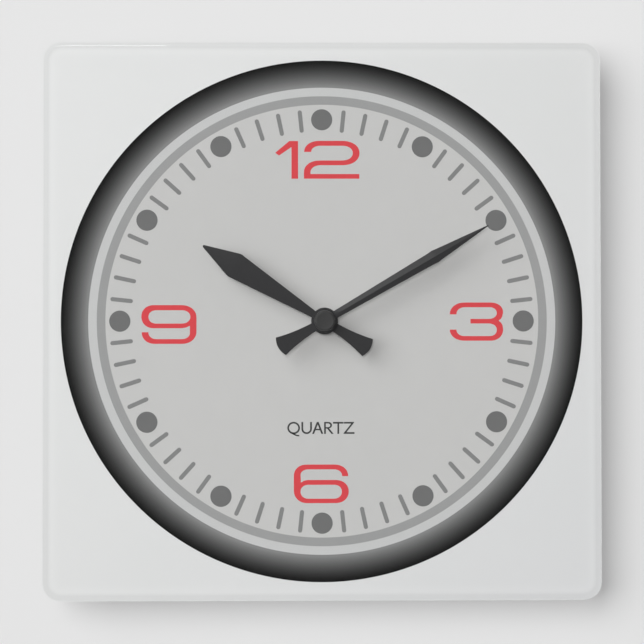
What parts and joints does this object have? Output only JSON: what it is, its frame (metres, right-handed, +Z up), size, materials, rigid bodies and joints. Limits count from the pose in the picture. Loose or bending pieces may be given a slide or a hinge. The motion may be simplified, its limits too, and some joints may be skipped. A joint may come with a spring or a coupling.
{
  "type": "wall clock",
  "caption": "Square clear acrylic wall clock with a printed dial, flat pointed hands and a battery quartz movement that hangs on a nail.",
  "frame": {"origin": "on the axis of the hands, in the plane of the wall that the rear cover rests against", "axes": "+X to the right as seen from the front, +Y towards the wall, +Z up; the dial faces -Y"},
  "size_m": [0.273, 0.0335, 0.2731],
  "materials": {
    "clear_acrylic": "polished",
    "print_white": "satin",
    "black_rubber": "matte",
    "case_black": "satin",
    "plate_white": "satin",
    "brass": "satin",
    "hand_black": "satin",
    "cap_black": "satin",
    "gear_white": "satin",
    "gear_red": "satin",
    "steel": "satin",
    "magnet": "matte",
    "soft_iron": "satin",
    "bobbin_cream": "satin",
    "copper_wire": "gloss",
    "board_green": "satin",
    "resin_black": "gloss",
    "contact_nickel": "satin",
    "cell_steel": "satin",
    "cell_sleeve": "gloss"
  },
  "bodies": {
    "clock_body": {"acrylic_panel": "clear_acrylic", "printed_film": "print_white", "rubber_gasket": "black_rubber", "movement_front_case": "case_black", "movement_rear_cover": "case_black", "middle_plate": "plate_white", "dial_washer": "brass", "dial_nut": "brass", "stator_plate": "soft_iron", "coil_core": "soft_iron", "coil_bobbin": "bobbin_cream", "coil_winding": "copper_wire", "circuit_board": "board_green", "ic_chip": "resin_black", "quartz_crystal": "steel", "battery_contact_positive": "contact_nickel", "battery_contact_negative": "contact_nickel"},
    "minute_work": {"minute_hand": "hand_black", "cannon_pinion": "brass", "hand_cap": "cap_black"},
    "hour_work": {"hour_hand": "hand_black", "hour_wheel": "gear_white"},
    "motion_wheel": {"minute_wheel": "gear_white"},
    "knob": {"setting_knob": "case_black"},
    "seconds_work": {"seconds_wheel": "gear_white", "seconds_shaft": "steel"},
    "centre_work": {"centre_wheel": "gear_red"},
    "third_work": {"third_wheel": "gear_white", "third_arbor": "steel"},
    "intermediate_work": {"intermediate_wheel": "gear_white", "intermediate_arbor": "steel"},
    "rotor": {"rotor_magnet": "magnet", "rotor_arbor": "gear_white"},
    "cell": {"battery_can": "cell_steel", "battery_sleeve": "cell_sleeve", "battery_terminal": "cell_steel"}
  },
  "joints": [
    {"name": "minute_turn", "type": "hinge", "parent": "clock_body", "child": "minute_work", "pos_m": [0, 0, 0], "axis": [0, 1, 0], "continuous": true},
    {"name": "hour_turn", "type": "hinge", "parent": "clock_body", "child": "hour_work", "pos_m": [0, 0, 0], "axis": [0, 1, 0], "continuous": true},
    {"name": "minute_wheel_turn", "type": "hinge", "parent": "clock_body", "child": "motion_wheel", "pos_m": [0.012, 0, 0], "axis": [0, 1, 0], "continuous": true},
    {"name": "knob_turn", "type": "hinge", "parent": "clock_body", "child": "knob", "pos_m": [0.01428, 0, 0.0126], "axis": [0, 1, 0], "continuous": true},
    {"name": "seconds_turn", "type": "hinge", "parent": "clock_body", "child": "seconds_work", "pos_m": [0, 0, 0], "axis": [0, 1, 0], "continuous": true},
    {"name": "centre_turn", "type": "hinge", "parent": "clock_body", "child": "centre_work", "pos_m": [0, 0, 0], "axis": [0, 1, 0], "continuous": true},
    {"name": "third_turn", "type": "hinge", "parent": "clock_body", "child": "third_work", "pos_m": [-0.00349, 0, 0.00958], "axis": [0, 1, 0], "continuous": true},
    {"name": "intermediate_turn", "type": "hinge", "parent": "clock_body", "child": "intermediate_work", "pos_m": [-0.00958, 0, -0.00349], "axis": [0, 1, 0], "continuous": true},
    {"name": "rotor_turn", "type": "hinge", "parent": "clock_body", "child": "rotor", "pos_m": [-0.01428, 0, -0.00178], "axis": [0, 1, 0], "continuous": true},
    {"name": "battery_slide", "type": "slide", "parent": "clock_body", "child": "cell", "axis": [0, 1, 0], "range_m": [0, 0.025]}
  ],
  "couplings": [
    {"joint": "hour_turn", "follows": "minute_turn", "ratio": 0.083333},
    {"joint": "minute_wheel_turn", "follows": "minute_turn", "ratio": -0.25},
    {"joint": "knob_turn", "follows": "minute_turn", "ratio": 0.75},
    {"joint": "centre_turn", "follows": "seconds_turn", "ratio": 0.016667},
    {"joint": "third_turn", "follows": "seconds_turn", "ratio": -0.13333},
    {"joint": "intermediate_turn", "follows": "seconds_turn", "ratio": -7.5},
    {"joint": "rotor_turn", "follows": "seconds_turn", "ratio": 30}
  ]
}
